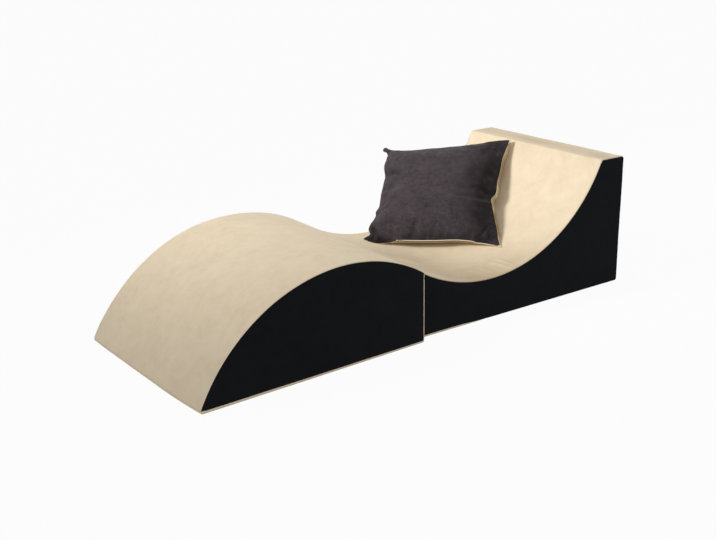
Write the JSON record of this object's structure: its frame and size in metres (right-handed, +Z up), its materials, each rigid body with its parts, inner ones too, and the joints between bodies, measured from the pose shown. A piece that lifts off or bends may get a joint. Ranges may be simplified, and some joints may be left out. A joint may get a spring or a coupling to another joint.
{
  "type": "spa relaxation lounger",
  "caption": "Low foam wave lounger in upholstered blocks: a hump for the legs, a valley seat that sweeps up into a backrest, and a loose scatter cushion.",
  "frame": {"origin": "on the floor under the seat block, on its centre line, midway along the two blocks when they are pushed together", "axes": "+X from the foot end to the backrest, +Y to the right side of someone who lies on it, +Z up"},
  "size_m": [1.7715, 0.8811, 0.47],
  "materials": {
    "cream_microsuede": "short brushed nap, warm cream",
    "black_microsuede": "short brushed nap, black",
    "charcoal_microsuede": "short brushed nap, warm charcoal",
    "polyurethane_foam": "cut open-cell foam",
    "polyester_wadding": "lofty bonded wadding",
    "fibre_filling": "hollow-fibre pad",
    "zip_tape": "woven tape",
    "zip_teeth": "coiled nylon teeth",
    "zip_metal": "satin enamel on die-cast zinc"
  },
  "bodies": {
    "seat_block": {"seat_foam_core": "polyurethane_foam", "seat_wadding": "polyester_wadding", "seat_side_panel_left": "black_microsuede", "seat_side_panel_right": "black_microsuede", "seat_base_panel": "cream_microsuede", "seat_rear_lower_panel": "cream_microsuede", "seat_rear_upper_panel": "cream_microsuede", "seat_front_panel": "cream_microsuede", "seat_top_panel": "cream_microsuede", "seat_zip_tape_upper": "zip_tape", "seat_zip_tape_lower": "zip_tape", "seat_zip_chain": "zip_teeth", "seat_zip_stops": "zip_metal"},
    "leg_block": {"leg_foam_core": "polyurethane_foam", "leg_wadding": "polyester_wadding", "leg_side_panel_left": "black_microsuede", "leg_side_panel_right": "black_microsuede", "leg_base_panel": "cream_microsuede", "leg_end_lower_panel": "cream_microsuede", "leg_end_upper_panel": "cream_microsuede", "leg_top_panel": "cream_microsuede", "leg_zip_tape_upper": "zip_tape", "leg_zip_tape_lower": "zip_tape", "leg_zip_chain": "zip_teeth", "leg_zip_stops": "zip_metal"},
    "cushion": {"cushion_front_panel": "charcoal_microsuede", "cushion_back_panel": "cream_microsuede", "cushion_filling": "fibre_filling", "cushion_zip_tape_front": "zip_tape", "cushion_zip_tape_back": "zip_tape", "cushion_zip_chain": "zip_teeth", "cushion_zip_stops": "zip_metal"},
    "leg_zip_slider": {"leg_zip_slider": "zip_metal"},
    "leg_zip_pull": {"leg_zip_pull": "zip_metal"},
    "seat_zip_slider": {"seat_zip_slider": "zip_metal"},
    "seat_zip_pull": {"seat_zip_pull": "zip_metal"},
    "cushion_zip_slider": {"cushion_zip_slider": "zip_metal"},
    "cushion_zip_pull": {"cushion_zip_pull": "zip_metal"}
  },
  "joints": [
    {"name": "leg_block_slide", "type": "slide", "parent": "seat_block", "child": "leg_block", "axis": [-0.9993, -0.0384, 0], "range_m": [0, 0.35]},
    {"name": "cushion_lift", "type": "slide", "parent": "seat_block", "child": "cushion", "axis": [0, 0, 1], "range_m": [0, 0.45]},
    {"name": "leg_zip_run", "type": "slide", "parent": "leg_block", "child": "leg_zip_slider", "axis": [0.0384, -0.9993, 0], "range_m": [0, 0.5684]},
    {"name": "leg_zip_pull_swing", "type": "hinge", "parent": "leg_zip_slider", "child": "leg_zip_pull", "pos_m": [-0.0831, 0.25092, 0.062], "axis": [0, 0, 1], "range_deg": [0, 180]},
    {"name": "seat_zip_run", "type": "slide", "parent": "seat_block", "child": "seat_zip_slider", "axis": [0, -1, 0], "range_m": [0, 0.5684]},
    {"name": "seat_zip_pull_swing", "type": "hinge", "parent": "seat_zip_slider", "child": "seat_zip_pull", "pos_m": [0.87195, 0.2842, 0.062], "axis": [0, 0, 1], "range_deg": [0, 180]},
    {"name": "cushion_zip_run", "type": "slide", "parent": "cushion", "child": "cushion_zip_slider", "axis": [-0.6444, 0.7625, -0.0578], "range_m": [0, 0.2384]},
    {"name": "cushion_zip_pull_swing", "type": "hinge", "parent": "cushion_zip_slider", "child": "cushion_zip_pull", "pos_m": [0.38797, -0.06966, 0.18154], "axis": [-0.4574, -0.3238, 0.8282], "range_deg": [0, 180]}
  ]
}
